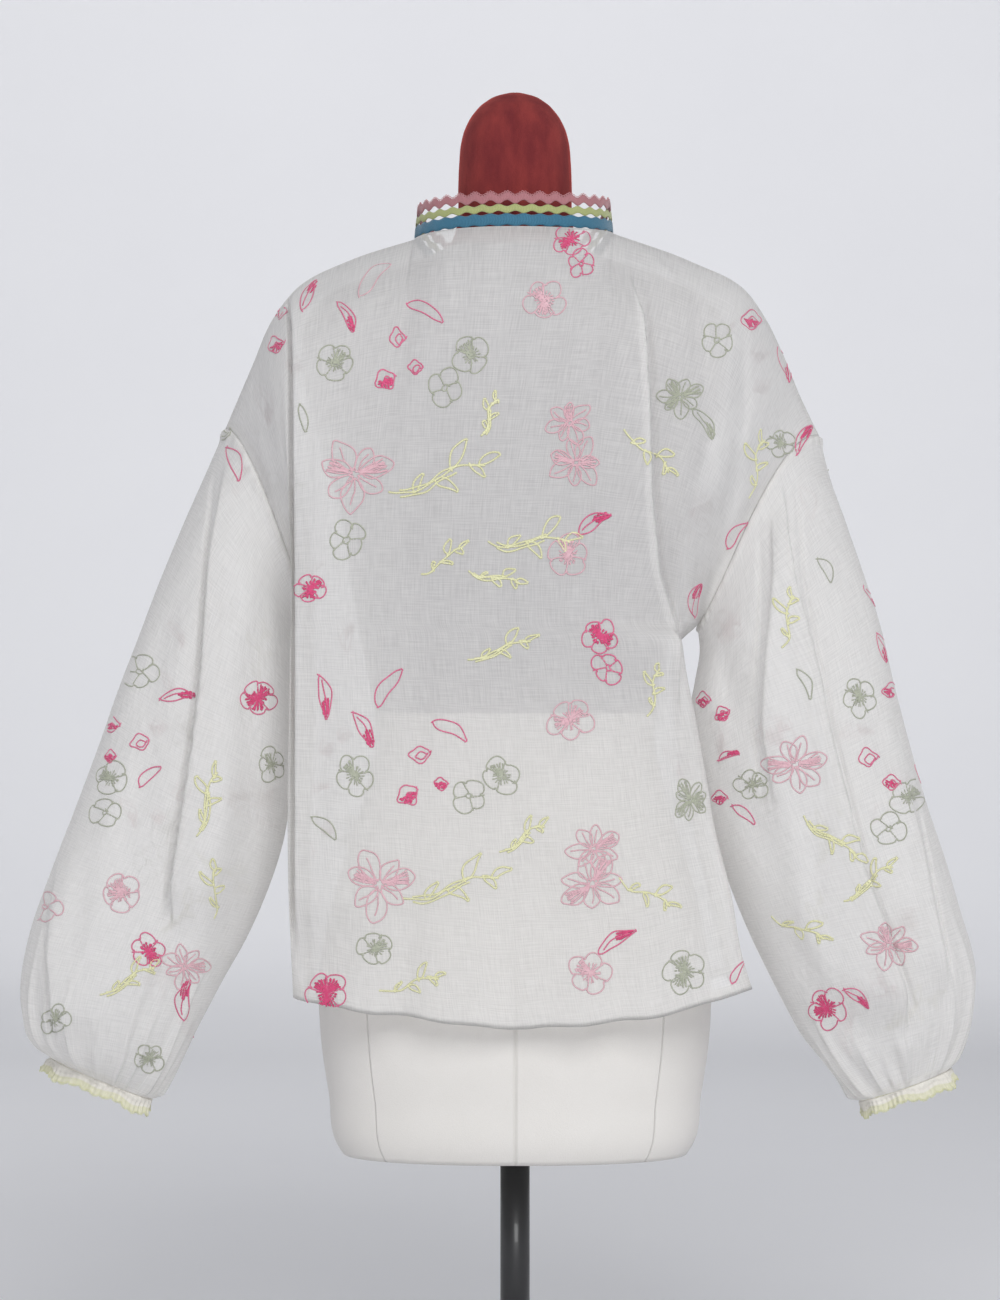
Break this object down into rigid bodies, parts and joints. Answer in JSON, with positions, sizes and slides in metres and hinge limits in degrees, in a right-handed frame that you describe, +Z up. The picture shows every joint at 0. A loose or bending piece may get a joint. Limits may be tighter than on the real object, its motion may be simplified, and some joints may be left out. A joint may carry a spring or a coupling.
{
  "type": "embroidered blouse on dress form",
  "caption": "Sheer embroidered blouse with dropped shoulders, balloon sleeves and a banded stand collar, on a limbless dress form with a round base.",
  "frame": {"origin": "centre of the base plate's underside, on the floor", "axes": "+Z up the form's pole, the garment's back faces -Y, its left sleeve reaches to -X"},
  "size_m": [0.8116, 0.31, 1.1495],
  "materials": {
    "voile": "sheer plain-woven white cotton voile with scattered outline embroidery",
    "cuff_voile": "gathered white voile with a fine pale green and cream scalloped edge",
    "blue_braid": "teal-blue cotton braid",
    "green_braid": "lime-green cotton braid",
    "pink_braid": "dusty pink cotton braid with picots",
    "jersey": "matt grey-mauve knitted cover",
    "velvet": "short-pile burgundy velvet",
    "black_lacquer": "satin black lacquer on steel"
  },
  "bodies": {
    "root": {"back": "voile", "front": "voile", "sleeve_left": "voile", "sleeve_right": "voile", "cuff_left": "cuff_voile", "cuff_right": "cuff_voile", "collar_blue": "blue_braid", "collar_green": "green_braid", "collar_pink": "pink_braid", "form_torso": "jersey", "form_neck": "velvet", "form_pole": "black_lacquer", "form_base": "black_lacquer"}
  },
  "joints": []
}
